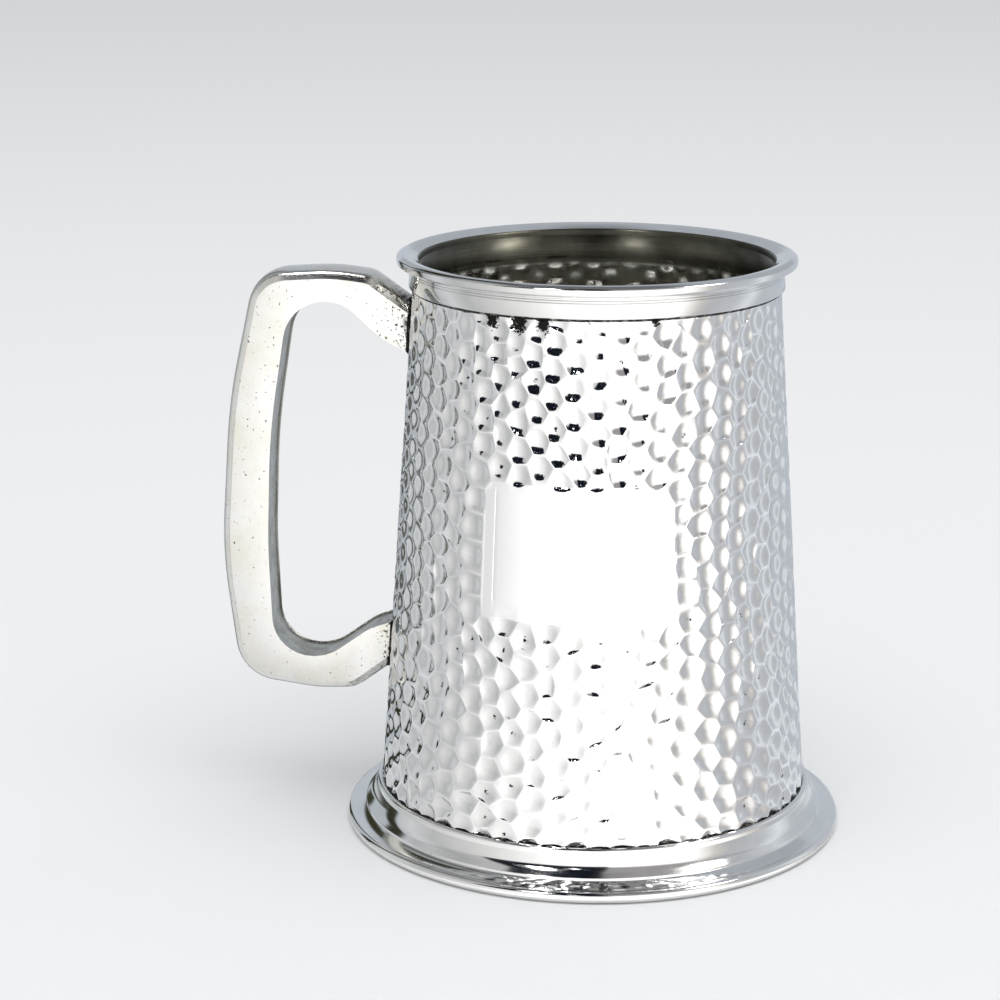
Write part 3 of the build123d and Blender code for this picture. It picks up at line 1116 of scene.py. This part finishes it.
def studio_surround():
    """A table top, wall and ceiling round the tankard, lit by angle and height."""
    fine = np.arange(BRIGHT_HEIGHT - 7, 260, 3.5)
    heights = [TABLE_HEIGHT, 100, 160, *fine, *np.arange(262, CEILING, 10)]
    angles = np.arange(-180, 180, 1.0)
    points, faces, colors = [], [], []
    for angle in angles:
        azimuth = math.radians(angle + VIEW)
        points.append(polar(FOOT_HIGH.x + TABLE_GAP, azimuth, TABLE_HEIGHT))
        colors.append(light_from(angle, 0))
        for height in heights:
            points.append(polar(WALL_RADIUS, azimuth, height))
            colors.append(light_from(angle, height))
        points.append(polar(5.0, azimuth, CEILING))
        colors.append(light_from(angle, CEILING))
    count = len(heights) + 2
    for k in range(len(angles)):
        near, ahead = k * count, (k + 1) % len(angles) * count
        faces += [(near + j, near + j + 1, ahead + j + 1, ahead + j) for j in range(count - 1)]
    glowing_mesh("studio_surround", points, faces, colors)


def studio_floor():
    """A plain pale floor, a hair below the foot."""
    reach, level = 6000, -0.02
    corners = [(x * reach, y * reach, level) for x, y in ((-1, -1), (1, -1), (1, 1), (-1, 1))]
    piece = new_object("studio_floor", corners, [(0, 1, 2, 3)])
    material = bpy.data.materials.new("studio_floor")
    material.use_nodes = True
    shader = material.node_tree.nodes["Principled BSDF"]
    shader.inputs["Base Color"].default_value = (0.84, 0.845, 0.85, 1)
    shader.inputs["Roughness"].default_value = 0.7
    shader.inputs["Specular IOR Level"].default_value = 0.0
    piece.data.materials.append(material)


def soft_light():
    """An even pale surround, and one large lamp above the table."""
    world = bpy.data.worlds.new("studio")
    world.use_nodes = True
    background = world.node_tree.nodes["Background"]
    background.inputs["Color"].default_value = (0.95, 0.96, 0.98, 1)
    background.inputs["Strength"].default_value = 0.75
    bpy.context.scene.world = world
    lamp = bpy.data.lights.new("overhead_lamp", "AREA")
    lamp.shape = "DISK"
    lamp.size = 2.0
    lamp.energy = 16.0
    piece = bpy.data.objects.new("overhead_lamp", lamp)
    piece.location = (0.2, -0.5, 1.8)
    piece.rotation_euler = piece.location.to_track_quat("Z", "Y").to_euler()
    piece.visible_glossy = False
    bpy.context.scene.collection.objects.link(piece)


studio_surround()
studio_floor()
soft_light()


# ---- camera ----
CAMERA_PLACE = Vector((46.24, -543.54, 210.21))
CAMERA_AIM = Vector((-0.116537, 0.960586, -0.252376))
CAMERA_LENS = 98.16

camera_data = bpy.data.cameras.new("camera")
camera_data.sensor_width = 36.0
camera_data.lens = CAMERA_LENS
camera_data.clip_start = 0.01
camera_data.clip_end = 50.0
camera = bpy.data.objects.new("camera", camera_data)
camera.location = CAMERA_PLACE * MM
camera.rotation_euler = CAMERA_AIM.to_track_quat("-Z", "Y").to_euler()
bpy.context.scene.collection.objects.link(camera)
bpy.context.scene.camera = camera
bpy.context.scene.view_settings.view_transform = "Standard"
